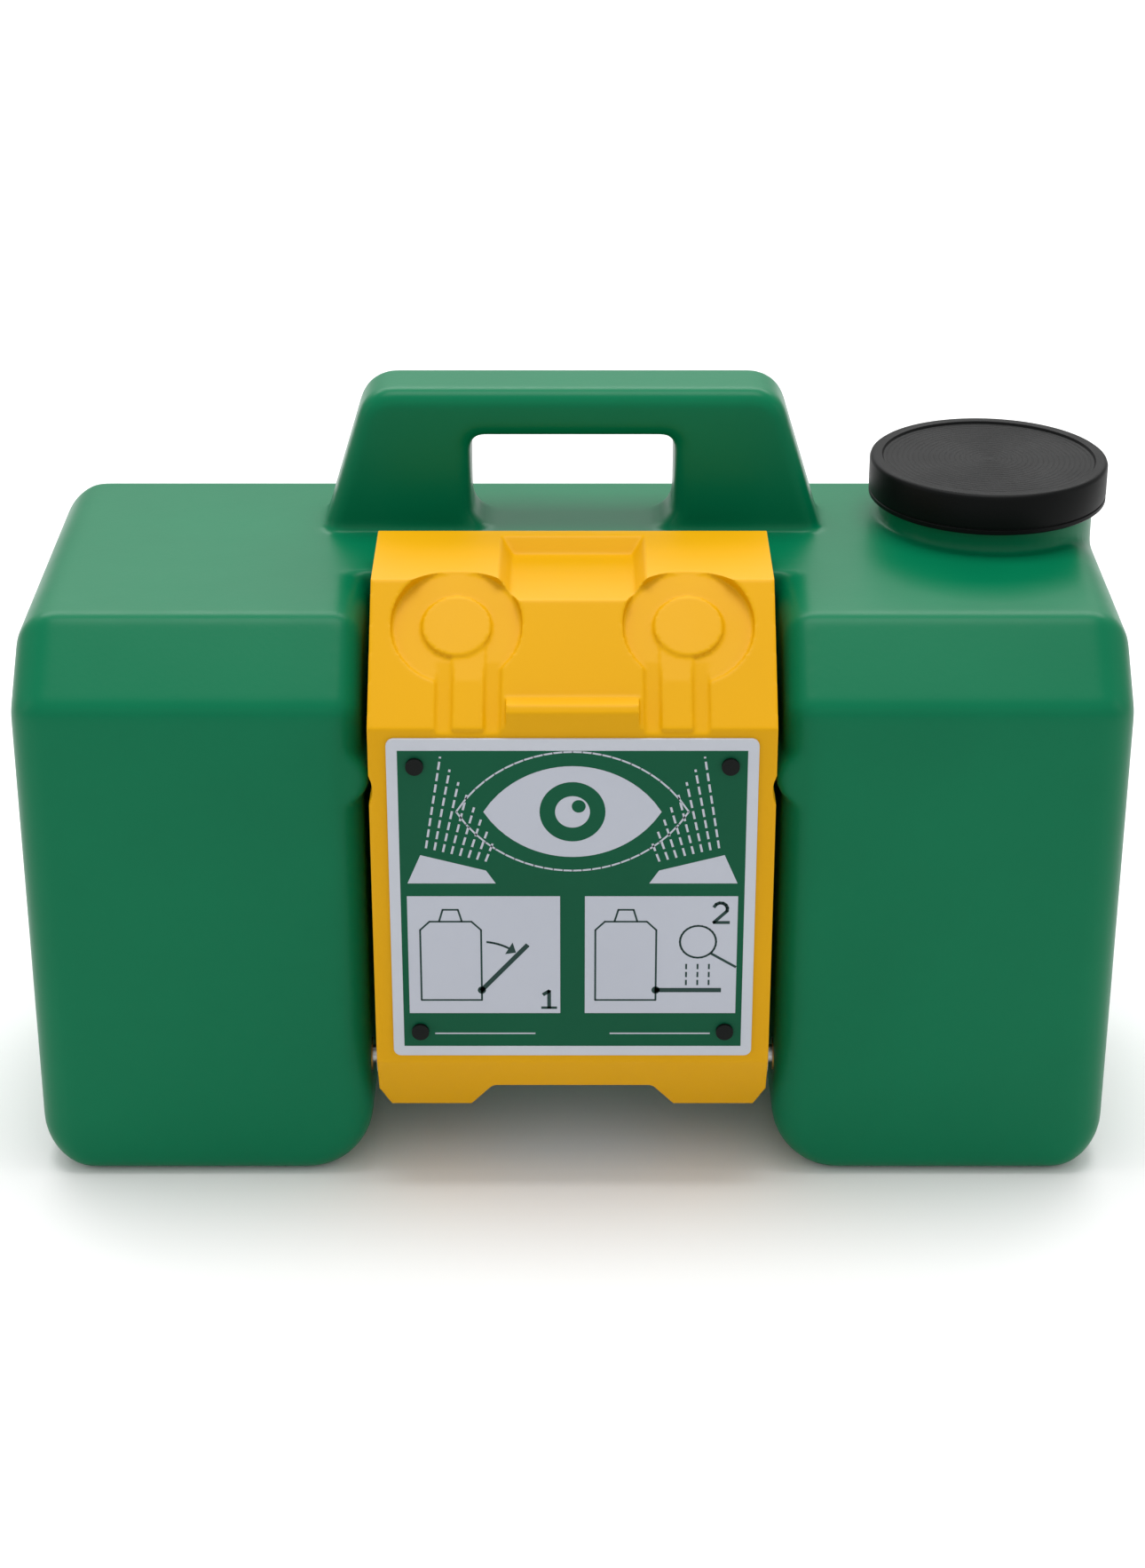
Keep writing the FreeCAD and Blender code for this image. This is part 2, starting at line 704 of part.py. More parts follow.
def water_path(name, side):
    """A collar that turns on the tee and the tube that it feeds."""
    at = (f"{side} * tube_spread / 2", PIVOT, "pivot_height")
    bore, half = "core_radius + running_gap", "collar_length / 2"
    groove = "water_groove_width / 2"
    collar_form = tube_profile(bore, "collar_radius", f"-{half}", half)
    collar = turned_body(f"swivel_collar_{name}", collar_form, at, "right")
    boss = "(collar_boss_top - collar_radius * 0.7)"
    slab(collar, "Pad", "YZ", [("0", "0", "collar_boss")], boss, f"{boss} / 2 - collar_boss_top")
    revolved(collar, "Groove", tube_profile("0", f"{bore} + water_groove", f"-{groove}", groove))
    depth = "(collar_boss_top - core_radius)"
    slab(collar, "Pocket", "YZ", [("0", "0", "tube_bore")], depth, f"{depth} / 2 - collar_boss_top")
    slab(collar, "Pocket", "YZ", [("0", "0", "tube_radius")], "2 * tube_socket", "-collar_boss_top")
    tube = new_body(f"supply_tube_{name}", at)
    shift = "nozzle_front + inlet_back - pivot_back"
    start = "collar_boss_top - tube_socket"
    route = [
        ("0", start),
        ("0", "tube_bend_low - pivot_height"),
        (shift, "tube_bend_high - pivot_height"),
        (shift, "nozzle_height - nozzle_radius - inlet_drop + tube_socket - pivot_height"),
    ]
    path = new_sketch(tube, "YZ", "0")
    add_polygon(path, route, closed=False)
    section = new_sketch(tube, "XY", start)
    add_circle(section, "0", "0", "tube_radius")
    add_circle(section, "0", "0", "tube_bore")
    pipe = tube.newObject("PartDesign::AdditivePipe", "pipe")
    pipe.Profile = section
    pipe.Spine = (path, ["Edge1", "Edge2", "Edge3"])
    pipe.Transition = "Round corner"
    tube.Tip = pipe


def ring_of_circles(rows, spacing, radius):
    """Circles in rings round a middle one, six more in each ring than in the last."""
    circles = [("0", "0", radius)]
    for row in range(1, rows):
        for i in range(6 * row):
            turn = math.tau * i / (6 * row)
            across, up = row * math.cos(turn), row * math.sin(turn)
            circles.append((f"{spacing} * {across:.5f}", f"{spacing} * {up:.5f}", radius))
    return circles


def nozzle(name, side):
    """A spray head on its seat behind a cup: body, screen, spray disc and the ring that holds them."""
    at = (f"{side} * cup_spread / 2", NOZZLE, "nozzle_height")
    inner = "nozzle_radius - nozzle_wall"
    body = turned_body(f"nozzle_body_{name}", [
        ("0", "0"),
        ("nozzle_radius", "0"),
        ("nozzle_radius", "nozzle_length"),
        (inner, "nozzle_length"),
        (inner, "nozzle_length - disc_seat - disc_thickness"),
        (f"{inner} - seat_ledge", "nozzle_length - disc_seat - disc_thickness"),
        (f"{inner} - seat_ledge", "nozzle_wall"),
        ("0", "nozzle_wall"),
    ], at, "back")
    inlet_x = f"{side} * (tube_spread - cup_spread) / 2"
    drop = "nozzle_radius + inlet_drop"
    start = "(nozzle_radius * 0.6)"
    inlet = (inlet_x, "inlet_back")
    slab(body, "Pad", "XZ", [(*inlet, "inlet_boss")], f"{drop} - {start}", f"-({drop} + {start}) / 2")
    # The boss reaches into the cavity, so the cavity is cleared again.
    revolved(body, "Groove", tube_profile("0", f"{inner} - seat_ledge", "nozzle_wall", "nozzle_length"))
    slab(body, "Pocket", "XZ", [(*inlet, "tube_bore")], drop, f"-({drop}) / 2")
    slab(body, "Pocket", "XZ", [(*inlet, "tube_radius")], "2 * tube_socket", f"-({drop})")
    disc_low = "nozzle_length - disc_seat - disc_thickness"
    disc_form = tube_profile("0", f"{inner} - running_gap", disc_low, "nozzle_length - disc_seat")
    disc = turned_body(f"spray_disc_{name}", disc_form, at, "back")
    holes = ring_of_circles(4, "disc_hole * 3.4", "disc_hole")
    slab(disc, "Pocket", "XY", holes, "disc_thickness * 3", disc_low)
    screen_low = f"{disc_low} - screen_thickness"
    screen_form = tube_profile("0", f"{inner} - seat_ledge - running_gap", screen_low, disc_low)
    screen = turned_body(f"nozzle_screen_{name}", screen_form, at, "back")
    mesh = ring_of_circles(5, "disc_hole * 3", "disc_hole * 0.9")
    slab(screen, "Pocket", "XY", mesh, "screen_thickness * 4", screen_low)
    turned_body(f"nozzle_ring_{name}", [
        ("nozzle_radius + running_gap", "nozzle_length - ring_depth"),
        ("nozzle_radius + ring_wall", "nozzle_length - ring_depth"),
        ("nozzle_radius + ring_wall", "nozzle_length + ring_lip - bolt_bevel"),
        ("nozzle_radius + ring_wall - bolt_bevel", "nozzle_length + ring_lip"),
        ("ring_opening", "nozzle_length + ring_lip"),
        ("ring_opening", "nozzle_length"),
        ("nozzle_radius + running_gap", "nozzle_length"),
    ], at, "back")


def arm_outline(inset):
    """The arm's side view: its outside, or the space inside its walls, which is open at the back."""
    toe = f"{FRONT} + arm_toe - arm_proud"
    outline = [
        (f"{toe} + 0.6 * {inset}", f"arm_bottom + {inset}"),
        (f"{FACE} + {inset}", f"arm_face_low + 0.25 * {inset}"),
        (f"{FACE} + {inset}", f"arm_face_high - 0.44 * {inset}"),
        (f"{FRONT} + arm_brow + 0.39 * {inset}", f"arm_top - {inset}"),
        (f"{FRONT} + arm_reach - {inset}", f"arm_top - {inset}"),
    ]
    if inset == "0":
        return outline + [
            (f"{FRONT} + arm_reach", "arm_top - arm_lip"),
            (f"{FRONT} + arm_rim", "arm_top - arm_lip"),
            (f"{FRONT} + arm_rim", "arm_rim_height"),
            (f"{FRONT} + arm_back", "arm_waist_height"),
            (f"{FRONT} + arm_back", "arm_bottom"),
        ]
    return outline + [
        (f"{FRONT} + arm_reach - {inset}", "arm_waist_height"),
        (f"{FRONT} + 2 * arm_back", "arm_waist_height - arm_back"),
        (f"{FRONT} + 2 * arm_back", f"arm_bottom + {inset}"),
    ]


def arm_block(label, inset):
    """A solid as wide as the arm, or as the space inside it, with its lower corners cut back."""
    body = new_body(label)
    slab(body, "Pad", "YZ", [arm_outline(inset)], f"arm_width - 2 * {inset}")
    edge, low = f"(arm_width / 2 - {inset})", "(arm_bottom - 5)"
    reach = "(toe_taper * (toe_taper_height + 5) / toe_taper_height)"
    for side in SIDES.values():
        corner = [
            (f"{side} * {edge}", "arm_bottom + toe_taper_height"),
            (f"{side} * ({edge} - {reach})", low),
            (f"{side} * ({edge} + 5)", low),
            (f"{side} * ({edge} + 5)", "arm_bottom + toe_taper_height"),
        ]
        slab(body, "Pocket", "XZ", [corner], "3 * tank_depth")
    return body


SLOPE = "atan2(arm_top - arm_face_high; arm_brow + arm_proud)"  # of the arm's sloped face
CUP_Y = f"{FACE} + (cup_low - arm_face_high) * (arm_brow + arm_proud) / (arm_top - arm_face_high)"


def on_slope(label, across, tilt="0 deg"):
    """A body at the bottom of a cup: Y runs up the arm's sloped face and Z points out of it."""
    body = new_body(label, (across, CUP_Y, "cup_low"))
    body.Placement = FreeCAD.Placement(FreeCAD.Vector(), FreeCAD.Rotation(FreeCAD.Vector(1, 0, 0), 1))
    body.setExpression(".Placement.Rotation.Angle", ref(f"{SLOPE} + {tilt}"))
    return body


def cup(name, side):
    """The round cup in the sloped face, its lane down to the sign, and the wall behind them."""
    across = f"{side} * cup_spread / 2"
    tilt = "atan2(cup_sill - cup_depth; 2 * cup_radius)"
    hollow = on_slope(f"cup_hollow_{name}", across, tilt)
    through = "arm_lip + cup_depth * 2"
    sketched(hollow, "Pad", "XY", [("0", "cup_radius", "cup_radius")], "-cup_sill", Length=through)
    lane_slope = on_slope(f"lane_hollow_{name}", f"{side} * tube_spread / 2")
    half = "lane_width / 2"
    floor = box_outline(f"-{half}", "-3 * cup_radius", half, "cup_radius")
    sketched(lane_slope, "Pad", "XY", [floor], "-lane_depth", Length="3 * lane_depth")
    rib = on_slope(f"rib_{name}", f"{side} * tube_spread / 2", tilt)
    rib_half = "rib_width / 2"
    bar = box_outline(f"-{rib_half}", "-3 * cup_radius", rib_half, "cup_radius")
    sketched(rib, "Pad", "XY", [bar], "-lane_depth - 1", Length="rib_rise + 1")
    backing = on_slope(f"cup_backing_{name}", across, tilt)
    behind_cup = [("0", "cup_radius", "cup_radius + arm_wall")]
    sketched(backing, "Pad", "XY", behind_cup, "-cup_sill - arm_wall", Length=through)
    lane_backing = on_slope(f"lane_backing_{name}", f"{side} * tube_spread / 2")
    behind = box_outline(f"-{half} - arm_wall", "-2 * cup_radius", f"{half} + arm_wall", "cup_radius")
    sketched(lane_backing, "Pad", "XY", [behind], "-lane_depth - arm_wall", Length="3 * lane_depth")
    boss = on_slope(f"cup_boss_{name}", across, tilt)
    sketched(boss, "Pad", "XY", [("0", "cup_radius", "cup_boss")], "-cup_sill - 1", Length="rib_rise + 1")
    raised = fused(f"cup_raised_{name}", [rib, boss])
    cutter = cut(f"cup_cutter_{name}", fused(f"cup_and_lane_{name}", [hollow, lane_slope]), raised)
    return cutter, [backing, lane_backing]


def sign_points():
    """Where the rivets go, as (across, up)."""
    across = "(sign_width / 2 - rivet_inset_side)"
    low, high = "sign_low + rivet_inset_end", "sign_low + sign_height - rivet_inset_end"
    return [(f"{side} * {across}", up) for side in SIDES.values() for up in (low, high)]


def cover_points():
    across = "(arm_width / 2 - arm_wall - cover_screw_inset)"
    return [(f"{side} * {across}", up) for side in SIDES.values()
            for up in ("cover_low + cover_screw_inset", "cover_high - cover_screw_inset")]


def circles_at(points, radius):
    return [(across, up, radius) for across, up in points]


def arm_shell():
    outside = arm_block("arm_outside_form", "0")
    bar = [
        (FACE, "arm_face_high - arm_wall"),
        (FACE, "bar_top - bar_bevel"),
        (f"{FACE} + bar_bevel", "bar_top"),
        (f"{FRONT} + arm_proud", "bar_top"),
        (f"{FRONT} + arm_proud", "arm_face_high - arm_wall"),
    ]
    slab(outside, "Pad", "YZ", [bar], "bar_width")
    inside = arm_block("arm_inside_form", "arm_wall")
    kept, cutters = [], []
    for name, side in SIDES.items():
        cutter, backing = cup(name, side)
        cutters.append(cutter)
        kept += backing
    deep = "arm_top - recess_depth"
    recess_end = f"{FRONT} + arm_reach - recess_margin"
    recess = new_body("finger_recess")
    slab(recess, "Pad", "YZ", [[
        (FRONT, "arm_top + 10"),
        (FRONT, deep),
        (f"{recess_end} - recess_depth", deep),
        (recess_end, "arm_top"),
        (recess_end, "arm_top + 10"),
    ]], "2 * recess_width")
    sides = new_body("recess_sides", ("0", f"{FRONT} + arm_reach / 2", "0"))
    half = "recess_floor / 2"
    slant = "((recess_width - recess_floor) / 2 * (recess_depth + 10) / recess_depth)"
    slab(sides, "Pad", "XZ", [[
        (f"-{half}", deep),
        (half, deep),
        (f"{half} + {slant}", f"{deep} + recess_depth + 10"),
        (f"-{half} - {slant}", f"{deep} + recess_depth + 10"),
    ]], "2 * arm_reach")
    hollow = doc.addObject("Part::Common", "finger_hollow")
    hollow.Base = recess
    hollow.Tool = sides
    cutters.append(hollow)
    tray = new_body("recess_backing")
    slab(tray, "Pad", "YZ", [[
        (FRONT, "arm_top"),
        (FRONT, f"{deep} - arm_wall"),
        (recess_end, f"{deep} - arm_wall"),
        (f"{recess_end} + arm_wall", "arm_top"),
    ]], "recess_width + 2 * arm_wall")
    kept.append(tray)
    seats = new_body("nozzle_seats", ("0", f"{NOZZLE} - seat_reach / 2", "0"))
    seat_circles = [(f"{side} * cup_spread / 2", "nozzle_height", "seat_radius") for side in SIDES.values()]
    seats.AllowCompound = True
    slab(seats, "Pad", "XZ", seat_circles, "seat_reach")
    posts = new_body("cover_posts", ("0", f"{FRONT} + arm_back - cover_thickness - seat_reach / 2", "0"))
    posts.AllowCompound = True
    slab(posts, "Pad", "XZ", circles_at(cover_points(), "cover_post"), "seat_reach")
    kept += [seats, posts]
    space = cut("arm_space", inside, fused("arm_kept", kept))
    notch = new_body("toe_notch")
    half, low = "(notch_width / 2)", "(arm_bottom - notch_slant)"
    flare = "(notch_slant * (notch_height + notch_slant) / notch_height)"
    slab(notch, "Pad", "XZ", [[
        (f"-{half} - {flare}", low),
        (f"{half} + {flare}", low),
        (half, "arm_bottom + notch_height"),
        (f"-{half}", "arm_bottom + notch_height"),
    ]], "3 * tank_depth")
    reliefs = new_body("bump_reliefs", ("0", FRONT, "0"))
    reliefs.AllowCompound = True
    at = "(arm_width / 2 + bump_gap + bump_radius)"
    relief_points = [(f"{side} * {at}", "bump_height") for side in SIDES.values()]
    slab(reliefs, "Pad", "XZ", circles_at(relief_points, "bump_radius + bump_relief"), "2 * bump_length")
    rivets = new_body("rivet_holes", ("0", FACE, "0"))
    rivets.AllowCompound = True
    slab(rivets, "Pad", "XZ", circles_at(sign_points(), "rivet_radius"), "4 * arm_wall")
    screws = new_body("screw_holes", ("0", f"{FRONT} + arm_back", "0"))
    screws.AllowCompound = True
    slab(screws, "Pad", "XZ", circles_at(cover_points(), "cover_screw_radius"), "2 * cover_screw_length")
    bush_form = tube_profile("0", "bush_radius", "-arm_width", "arm_width")
    bushes = turned_body("bush_holes", bush_form, PIVOT_AT, "right")
    tools = fused("arm_tools", [space, notch, reliefs, rivets, screws, bushes] + cutters)
    return cut("arm_shell", outside, tools)


def arm_cover():
    """The flat cover over the tubes, and its screws."""
    middle = f"{FRONT} + arm_back - cover_thickness / 2"
    cover = new_body("arm_cover", ("0", middle, "0"))
    half = "(arm_width / 2 - arm_wall - cover_gap)"
    outline = box_outline(f"-{half}", "cover_low", half, "cover_high")
    slab(cover, "Pad", "XZ", [outline] + circles_at(cover_points(), "cover_screw_radius"), "cover_thickness")
    screws = new_body("cover_screws", ("0", f"{FRONT} + arm_back", "0"))
    screws.AllowCompound = True
    head = "cover_screw_radius"
    slab(screws, "Pad", "XZ", circles_at(cover_points(), "cover_screw_head"), head, f"-{head} / 2")
    slab(screws, "Pad", "XZ", circles_at(cover_points(), "cover_screw_radius"), "cover_screw_length",
         "cover_screw_length / 2")


def sign():
    """The sign plate and its four rivets."""
    plate = new_body("sign_plate", ("0", f"{FACE} - sign_thickness / 2", "0"))
    outline = box_outline("-sign_width / 2", "sign_low", "sign_width / 2", "sign_low + sign_height")
    slab(plate, "Pad", "XZ", [outline] + circles_at(sign_points(), "rivet_radius"), "sign_thickness")
    rounded(plate, "sign_corner", lambda edge, middle: runs_along(edge, "y"))
    rivets = new_body("sign_rivets", ("0", f"{FACE} - sign_thickness", "0"))
    rivets.AllowCompound = True
    slab(rivets, "Pad", "XZ", circles_at(sign_points(), "rivet_head_radius"), "rivet_head", "rivet_head / 2")
    shank = "(sign_thickness + arm_wall + rivet_head)"
    slab(rivets, "Pad", "XZ", circles_at(sign_points(), "rivet_radius"), shank, f"-{shank} / 2")


def filler_cap():
    """The screw cap and the gasket that it presses on the neck."""
    inner = "thread_radius + cap_gap"
    under = "neck_height + gasket_thickness + 2 * seat_gap"
    top = f"{under} + cap_top"
    turned_body("fill_cap", [
        (inner, "cap_rest"),
        ("cap_radius - cap_bevel / 2", "cap_rest"),
        ("cap_radius", "cap_rest + cap_bevel"),
        ("cap_radius", f"{top} - cap_bevel"),
        ("cap_radius - cap_bevel", top),
        ("cap_radius - cap_rim", top),
        ("cap_radius - cap_rim - cap_bevel", f"{top} - cap_dish"),
        ("0", f"{top} - cap_dish"),
        ("0", under),
        (inner, under),
    ], NECK_AT)
    low = "neck_height + seat_gap"
    ring = tube_profile("neck_bore", "thread_radius", low, f"{low} + gasket_thickness")
    turned_body("cap_gasket", ring, NECK_AT)


tank_shell()
outlet()
swivel()
arm_shell()
arm_cover()
sign()
filler_cap()
for side_name, side_sign in SIDES.items():
    pivot_hardware(side_name, side_sign)
    water_path(side_name, side_sign)
    nozzle(side_name, side_sign)
doc.recompute()

NODES = ["tank_shell", "outlet_fitting", "outlet_gasket", "outlet_nut", "outlet_strainer", "swivel_core"]
NODES += ["swivel_seals", "arm_shell", "arm_cover", "cover_screws", "sign_plate", "sign_rivets"]
NODES += ["fill_cap", "cap_gasket"]
PAIRED = ["pivot_insert", "pivot_bolt", "pivot_bush", "swivel_collar", "supply_tube", "nozzle_body"]
PAIRED += ["nozzle_screen", "spray_disc", "nozzle_ring"]
NODES += [f"{piece}_{side_name}" for side_name in SIDES for piece in PAIRED]

failed = [o.Label for o in doc.Objects if "Invalid" in o.State or "Error" in o.State]
if failed:
    raise ValueError(f"failed objects: {failed}")
shapes = {}
for node in NODES:
    shape = doc.getObjectsByLabel(node)[0].Shape
    if shape.isNull() or not shape.isValid() or not shape.Solids:
        raise ValueError(f"{node} has no valid solid")
    shapes[node] = shape
os.makedirs("parts", exist_ok=True)
for node, shape in shapes.items():
    shape.exportStep(f"parts/{node}.step")
    print(f"{node}: {len(shape.Solids)} solids, {shape.Volume / 1000:.1f} cm3")
capacity = doc.getObjectsByLabel("tank_inside")[0].Shape.Volume
print(f"tank capacity {capacity / 1e6:.1f} litres")
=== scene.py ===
# %% [markdown]
# # A portable eyewash station
# A green water tank, moulded in one piece, with a carry handle and a black screw cap. A yellow arm folds
# down from its front and carries two spray heads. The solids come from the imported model, which is the
# frame: everything here is in metres, and every piece takes its place from that frame.

# %% Load the frame
import math

import bmesh
import bpy
from mathutils import Matrix, Vector


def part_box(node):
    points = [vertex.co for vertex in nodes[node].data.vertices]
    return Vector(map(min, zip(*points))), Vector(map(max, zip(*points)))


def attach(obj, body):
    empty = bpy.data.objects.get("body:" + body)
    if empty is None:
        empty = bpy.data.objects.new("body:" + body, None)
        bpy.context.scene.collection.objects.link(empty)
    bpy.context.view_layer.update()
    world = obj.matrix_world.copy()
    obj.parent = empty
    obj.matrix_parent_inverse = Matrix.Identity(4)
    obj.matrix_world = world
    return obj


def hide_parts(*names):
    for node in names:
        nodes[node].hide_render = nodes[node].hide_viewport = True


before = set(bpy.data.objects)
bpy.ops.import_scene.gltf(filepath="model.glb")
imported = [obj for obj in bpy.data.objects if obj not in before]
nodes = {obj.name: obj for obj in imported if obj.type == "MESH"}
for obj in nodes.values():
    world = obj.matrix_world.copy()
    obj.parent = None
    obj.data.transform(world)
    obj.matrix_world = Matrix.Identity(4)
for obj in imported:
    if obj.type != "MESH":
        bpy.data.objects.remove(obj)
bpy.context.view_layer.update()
MM = 0.001
print("frame", len(nodes), "nodes")

# %% [markdown]
# ## Camera
# The camera looks straight at the front from a little above, with a lens of about 72 mm, so that the
# tank's sides lean in towards the floor. The lens and distance are what make the top, front and floor
# edge line up.

# %% Camera
camera = bpy.data.objects.new("camera", bpy.data.cameras.new("camera"))
camera.data.sensor_fit = "AUTO"
camera.data.sensor_width = 36.0
camera.data.lens = 72.0
camera.location = (0.0, -1.5865, 0.9376)
camera.rotation_euler = (math.radians(90.0 - 25.5), 0.0, 0.0)
bpy.context.collection.objects.link(camera)
bpy.context.scene.camera = camera

# %% [markdown]
# ## Colours and nodes
# Colours are written as the hex values a designer would pick. Blender works in linear light, so one
# function turns them. A second small function adds a shader node with its settings and links.


# %% Colour and node helpers
def linear(hex_colour):
    """An sRGB hex colour as the linear RGBA that a shader wants."""
    channels = [int(hex_colour[i:i + 2], 16) / 255 for i in (1, 3, 5)]
    return tuple(c / 12.92 if c <= 0.04045 else ((c + 0.055) / 1.055) ** 2.4 for c in channels) + (1.0,)


def add_node(material, kind, settings=None, **inputs):
    """One shader node; an input that is another node's output is linked, any other is set."""
    node = material.node_tree.nodes.new(kind)
    for name, value in (settings or {}).items():
        setattr(node, name, value)
    for name, value in inputs.items():
        socket = node.inputs[name.replace("_", " ")]
        if isinstance(value, bpy.types.NodeSocket):
            material.node_tree.links.new(value, socket)
        else:
            socket.default_value = value
    return node


def new_material(name):
    """A node material with its Principled shader; each finish adds its other nodes."""
    material = bpy.data.materials.new(name)
    material.use_nodes = True
    return material, material.node_tree.nodes["Principled BSDF"]


def wear(obj, material):
    """Gives every slot of an object this material."""
    if not obj.material_slots:
        obj.data.materials.append(material)
    for slot in obj.material_slots:
        slot.material = material


# %% [markdown]
# ## Moulded plastic
# The tank is rotationally moulded polyethylene: powder melts against a hot steel mould, which leaves a
# skin with a faint orange peel, a slow waviness and a soft, wide highlight. The arm, the cap and the
# fittings are moulded too, but injected under pressure, so their skin is flatter and its grain finer. One
# recipe makes them all: one noise mixes two close colours, a second drives roughness, and a fine noise,
# with a broad one where a waviness is given, lifts the surface.


# %% Moulded plastic
CLOUD_MM = 90  # how wide the slow changes of colour are
HANDLING_MM = 25  # how wide the duller and shinier patches are


def moulded(name, colour, shade, rough, grain_mm, peel, wave_mm=60.0, wave=0.0, ior=1.5, sheen=0.12):
    """Moulded plastic: two close colours, a roughness, the grain's size and height in mm, and a waviness."""
    material, shader = new_material(name)
    where = add_node(material, "ShaderNodeTexCoord").outputs["Object"]
    clouds = add_node(material, "ShaderNodeTexNoise", Vector=where, Scale=1000 / CLOUD_MM, Detail=4.0)
    tint = add_node(material, "ShaderNodeMix", {"data_type": "RGBA"}, Factor=clouds.outputs["Fac"])
    tint.inputs[6].default_value = linear(colour)
    tint.inputs[7].default_value = linear(shade)
    material.node_tree.links.new(tint.outputs[2], shader.inputs["Base Color"])
    handled = add_node(material, "ShaderNodeTexNoise", Vector=where, Scale=1000 / HANDLING_MM, Detail=5.0)
    matt = add_node(material, "ShaderNodeMapRange", Value=handled.outputs["Fac"])
    matt.inputs["To Min"].default_value = rough - 0.05
    matt.inputs["To Max"].default_value = rough + 0.07
    material.node_tree.links.new(matt.outputs["Result"], shader.inputs["Roughness"])
    skin = add_node(material, "ShaderNodeTexNoise", Vector=where, Scale=1000 / grain_mm, Detail=2.0)
    lift = add_node(material, "ShaderNodeBump", Height=skin.outputs["Fac"], Distance=peel * MM, Strength=0.6)
    if wave:
        slow = add_node(material, "ShaderNodeTexNoise", Vector=where, Scale=1000 / wave_mm, Detail=1.0)
        lift = add_node(material, "ShaderNodeBump", Height=slow.outputs["Fac"], Distance=wave * MM,
                        Strength=0.5, Normal=lift.outputs["Normal"])
    material.node_tree.links.new(lift.outputs["Normal"], shader.inputs["Normal"])
    shader.inputs["IOR"].default_value = ior
    shader.inputs["Specular IOR Level"].default_value = sheen
    return material


# Polyethylene has an IOR near 1.51; its orange peel is 2 to 3 mm across and a few hundredths of a mm high.
green_polyethylene = moulded("green_polyethylene", "#006f49", "#006643", 0.33, 2.6, 0.05, 70.0, 0.5, 1.51)
# ABS, IOR about 1.54, in a finely spark-eroded mould: the grain gives a satin sheen.
yellow_abs = moulded("yellow_abs", "#dca200", "#d29a00", 0.42, 1.1, 0.04, 50.0, 0.12, 1.54)
# Polypropylene with carbon black, IOR 1.49: deep black with a grey, satin top light.
black_polypropylene = moulded("black_polypropylene", "#0e0f0f", "#0a0b0b", 0.42, 0.9, 0.03, 40.0, 0.1, 1.49,
                              sheen=0.08)
black_nylon = moulded("black_nylon", "#0d1210", "#080b0a", 0.45, 0.7, 0.02, 40.0, 0.0, 1.53)
white_acetal = moulded("white_acetal", "#e9eae6", "#dfe0db", 0.28, 0.8, 0.01, 40.0, 0.0, 1.48)
grey_pvc = moulded("grey_pvc", "#c7cac6", "#b9bcb8", 0.4, 1.2, 0.03, 40.0, 0.1, 1.53)
print("plastics", len(bpy.data.materials))

# %% [markdown]
# ## Rubber, steel and brass
# The seals are nitrile rubber, black and dull. The bolts and screws are turned and brushed stainless
# steel and the threaded inserts turned brass: a fine noise, sized from the tool's rings, varies their
# roughness and lifts their surface a little.


# %% Metals and rubber
def turned_metal(name, colour, rough, lines_mm):
    """Metal whose roughness and surface a fine noise varies, sized from the spacing of a lathe's rings."""
    material, shader = new_material(name)
    where = add_node(material, "ShaderNodeTexCoord").outputs["Object"]
    rings = add_node(material, "ShaderNodeTexNoise", Vector=where, Scale=1000 / lines_mm, Detail=3.0)
    matt = add_node(material, "ShaderNodeMapRange", Value=rings.outputs["Fac"])
    matt.inputs["To Min"].default_value = rough - 0.08
    matt.inputs["To Max"].default_value = rough + 0.1
    bump = add_node(material, "ShaderNodeBump", Height=rings.outputs["Fac"], Distance=0.01 * MM,
                    Strength=0.4)
    material.node_tree.links.new(matt.outputs["Result"], shader.inputs["Roughness"])
    material.node_tree.links.new(bump.outputs["Normal"], shader.inputs["Normal"])
    shader.inputs["Base Color"].default_value = linear(colour)
    shader.inputs["Metallic"].default_value = 1.0
    return material


stainless_steel = turned_metal("stainless_steel", "#b9bbbd", 0.3, 0.8)
turned_brass = turned_metal("turned_brass", "#c59a4d", 0.32, 0.8)
nitrile_rubber = moulded("nitrile_rubber", "#151515", "#0f0f0f", 0.72, 0.8, 0.04, 30.0, 0.0, 1.52)

FINISH = {
    "outlet_fitting": grey_pvc, "outlet_nut": grey_pvc, "outlet_strainer": grey_pvc,
    "outlet_gasket": nitrile_rubber,
    "swivel_core": white_acetal, "swivel_seals": nitrile_rubber, "arm_cover": yellow_abs,
    "cover_screws": stainless_steel, "cap_gasket": nitrile_rubber,
    "pivot_insert": turned_brass, "pivot_bolt": stainless_steel, "pivot_bush": white_acetal,
    "swivel_collar": grey_pvc, "supply_tube": grey_pvc, "nozzle_body": white_acetal,
    "nozzle_screen": stainless_steel, "spray_disc": white_acetal, "nozzle_ring": white_acetal,
}
for node_name, node in nodes.items():
    finish = FINISH.get(node_name.replace("_left", "").replace("_right", ""))
    if finish:
        wear(node, finish)

# %% [markdown]
# ## Soft moulded skins
# A moulded part has no sharp edge and no sharp inner corner, because the plastic can't fill one. The
# solids keep the true sizes but meet at hard lines, as where the handle stands on the tank. So the tank
# and the arm are copied, remeshed into even small cells and relaxed a little, which melts each line into
# a fillet. A bevel would be simpler, but it fails where this many curved faces run together.


# %% Soften a moulded node
def settled(obj):
    """Turns an object's modifiers into plain mesh."""
    graph = bpy.context.evaluated_depsgraph_get()
    mesh = bpy.data.meshes.new_from_object(obj.evaluated_get(graph))
    obj.modifiers.clear()
    obj.data = mesh
    return obj


